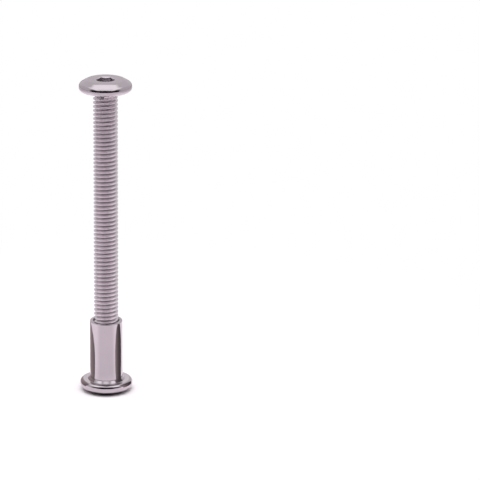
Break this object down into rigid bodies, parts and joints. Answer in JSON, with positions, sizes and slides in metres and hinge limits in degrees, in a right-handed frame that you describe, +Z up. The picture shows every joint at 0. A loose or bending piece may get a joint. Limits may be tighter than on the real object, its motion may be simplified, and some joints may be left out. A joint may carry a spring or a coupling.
{
  "type": "binding barrel screw",
  "caption": "Flat-headed socket screw run into a blind barrel nut with a matching head, for clamping a stack of sheets or panels between the heads.",
  "frame": {"origin": "centre of the barrel nut's outer face, on which the pair stands", "axes": "+Z up the common axis, from the barrel nut's head to the screw's head; +X through a corner of each hex socket"},
  "size_m": [0.0126, 0.0126, 0.0782],
  "materials": {
    "barrel_steel": "stainless steel, polished outside, satin faces",
    "screw_steel": "stainless steel, satin head, rolled thread"
  },
  "bodies": {
    "barrel": {"barrel_nut": "barrel_steel"},
    "screw": {"socket_screw": "screw_steel"}
  },
  "joints": [
    {"name": "unscrew", "type": "slide", "parent": "barrel", "child": "screw", "axis": [0, 0, 1], "range_m": [0, 0.011]}
  ]
}
